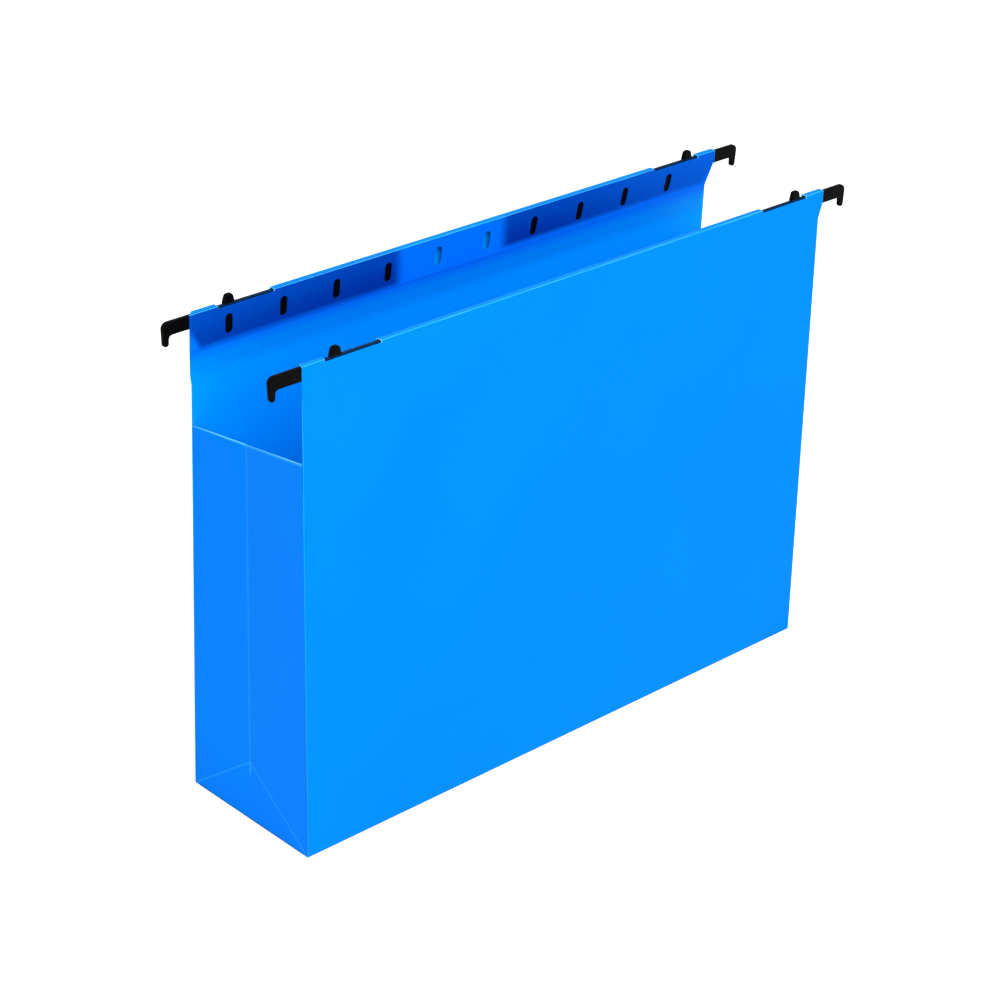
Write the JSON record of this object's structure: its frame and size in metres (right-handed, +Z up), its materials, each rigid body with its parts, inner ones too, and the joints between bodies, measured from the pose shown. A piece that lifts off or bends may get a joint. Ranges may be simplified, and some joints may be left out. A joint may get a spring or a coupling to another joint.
{
  "type": "hanging file folder",
  "caption": "Box-bottom hanging file folder of plastic sheet, with creased side gussets, folded hems and sliding hook runners that rest on filing rails.",
  "frame": {"origin": "on the floor, under the middle of the hems, 1.2 mm from the middle of the box bottom", "axes": "+X along the hems to the right, +Y towards the rear panel, +Z up"},
  "size_m": [0.3484, 0.08, 0.2369],
  "materials": {
    "sheet_blue": "satin",
    "runner_black": "satin moulded"
  },
  "bodies": {
    "rear_side": {"rear_panel": "sheet_blue", "rear_hem_strip": "sheet_blue", "rear_hem_flap": "sheet_blue", "rear_hem_seam": "sheet_blue", "gusset_flange_rear_left": "sheet_blue", "gusset_flange_rear_right": "sheet_blue"},
    "base_rear": {"base_rear_half": "sheet_blue"},
    "gusset_rear_left": {"gusset_rear_left": "sheet_blue"},
    "web_rear_left": {"corner_web_rear_left": "sheet_blue"},
    "runner_rear_left": {"runner_rear_left": "runner_black"},
    "gusset_rear_right": {"gusset_rear_right": "sheet_blue"},
    "web_rear_right": {"corner_web_rear_right": "sheet_blue"},
    "runner_rear_right": {"runner_rear_right": "runner_black"},
    "front_side": {"front_panel": "sheet_blue", "front_hem_strip": "sheet_blue", "front_hem_flap": "sheet_blue", "front_hem_seam": "sheet_blue", "gusset_flange_front_left": "sheet_blue", "gusset_flange_front_right": "sheet_blue"},
    "base_front": {"base_front_half": "sheet_blue"},
    "gusset_front_left": {"gusset_front_left": "sheet_blue"},
    "web_front_left": {"corner_web_front_left": "sheet_blue"},
    "runner_front_left": {"runner_front_left": "runner_black"},
    "gusset_front_right": {"gusset_front_right": "sheet_blue"},
    "web_front_right": {"corner_web_front_right": "sheet_blue"},
    "runner_front_right": {"runner_front_right": "runner_black"}
  },
  "joints": [
    {"name": "base_rear_fold", "type": "hinge", "parent": "rear_side", "child": "base_rear", "pos_m": [0, 0.037, 0.0005], "axis": [-1, 0, 0], "range_deg": [0, 80]},
    {"name": "base_front_fold", "type": "hinge", "parent": "base_rear", "child": "base_front", "pos_m": [0, 0, 0], "axis": [-1, 0, 0], "range_deg": [-161.82, 0]},
    {"name": "front_panel_fold", "type": "hinge", "parent": "base_front", "child": "front_side", "pos_m": [0, -0.037, 0.0005], "axis": [-1, 0, 0], "range_deg": [0, 80]},
    {"name": "gusset_rear_left_fold", "type": "hinge", "parent": "rear_side", "child": "gusset_rear_left", "pos_m": [-0.1572, 0.03741, 0.09997], "axis": [0, -0.0159, 0.9999], "range_deg": [0, 80]},
    {"name": "web_rear_left_fold", "type": "hinge", "parent": "base_rear", "child": "web_rear_left", "pos_m": [-0.1572, 0.0185, 0.0005], "axis": [0, 1, 0], "range_deg": [0, 90], "deforming": ["corner_web_rear_left"]},
    {"name": "runner_rear_left_slide", "type": "slide", "parent": "rear_side", "child": "runner_rear_left", "axis": [-1, 0, 0], "range_m": [-0.0195, 0.0025]},
    {"name": "gusset_rear_right_fold", "type": "hinge", "parent": "rear_side", "child": "gusset_rear_right", "pos_m": [0.1548, 0.03741, 0.09997], "axis": [0, 0.0159, -0.9999], "range_deg": [0, 80]},
    {"name": "web_rear_right_fold", "type": "hinge", "parent": "base_rear", "child": "web_rear_right", "pos_m": [0.1548, 0.0185, 0.0005], "axis": [0, -1, 0], "range_deg": [0, 90], "deforming": ["corner_web_rear_right"]},
    {"name": "runner_rear_right_slide", "type": "slide", "parent": "rear_side", "child": "runner_rear_right", "axis": [1, 0, 0], "range_m": [-0.0195, 0.0025]},
    {"name": "gusset_front_left_fold", "type": "hinge", "parent": "front_side", "child": "gusset_front_left", "pos_m": [-0.1572, -0.03741, 0.09997], "axis": [0, -0.0159, -0.9999], "range_deg": [0, 80]},
    {"name": "web_front_left_fold", "type": "hinge", "parent": "base_front", "child": "web_front_left", "pos_m": [-0.1572, -0.0185, 0.0005], "axis": [0, 1, 0], "range_deg": [0, 90], "deforming": ["corner_web_front_left"]},
    {"name": "runner_front_left_slide", "type": "slide", "parent": "front_side", "child": "runner_front_left", "axis": [-1, 0, 0], "range_m": [-0.0195, 0.0025]},
    {"name": "gusset_front_right_fold", "type": "hinge", "parent": "front_side", "child": "gusset_front_right", "pos_m": [0.1548, -0.03741, 0.09997], "axis": [0, 0.0159, 0.9999], "range_deg": [0, 80]},
    {"name": "web_front_right_fold", "type": "hinge", "parent": "base_front", "child": "web_front_right", "pos_m": [0.1548, -0.0185, 0.0005], "axis": [0, -1, 0], "range_deg": [0, 90], "deforming": ["corner_web_front_right"]},
    {"name": "runner_front_right_slide", "type": "slide", "parent": "front_side", "child": "runner_front_right", "axis": [1, 0, 0], "range_m": [-0.0195, 0.0025]}
  ],
  "couplings": [
    {"joint": "base_front_fold", "follows": "base_rear_fold", "ratio": -2.0227},
    {"joint": "front_panel_fold", "follows": "base_rear_fold", "ratio": 1},
    {"joint": "gusset_rear_left_fold", "follows": "base_rear_fold", "ratio": 1},
    {"joint": "web_rear_left_fold", "follows": "base_rear_fold", "ratio": 1.125},
    {"joint": "gusset_rear_right_fold", "follows": "base_rear_fold", "ratio": 1},
    {"joint": "web_rear_right_fold", "follows": "base_rear_fold", "ratio": 1.125},
    {"joint": "gusset_front_left_fold", "follows": "base_rear_fold", "ratio": 1},
    {"joint": "web_front_left_fold", "follows": "base_rear_fold", "ratio": 1.125},
    {"joint": "gusset_front_right_fold", "follows": "base_rear_fold", "ratio": 1},
    {"joint": "web_front_right_fold", "follows": "base_rear_fold", "ratio": 1.125}
  ]
}
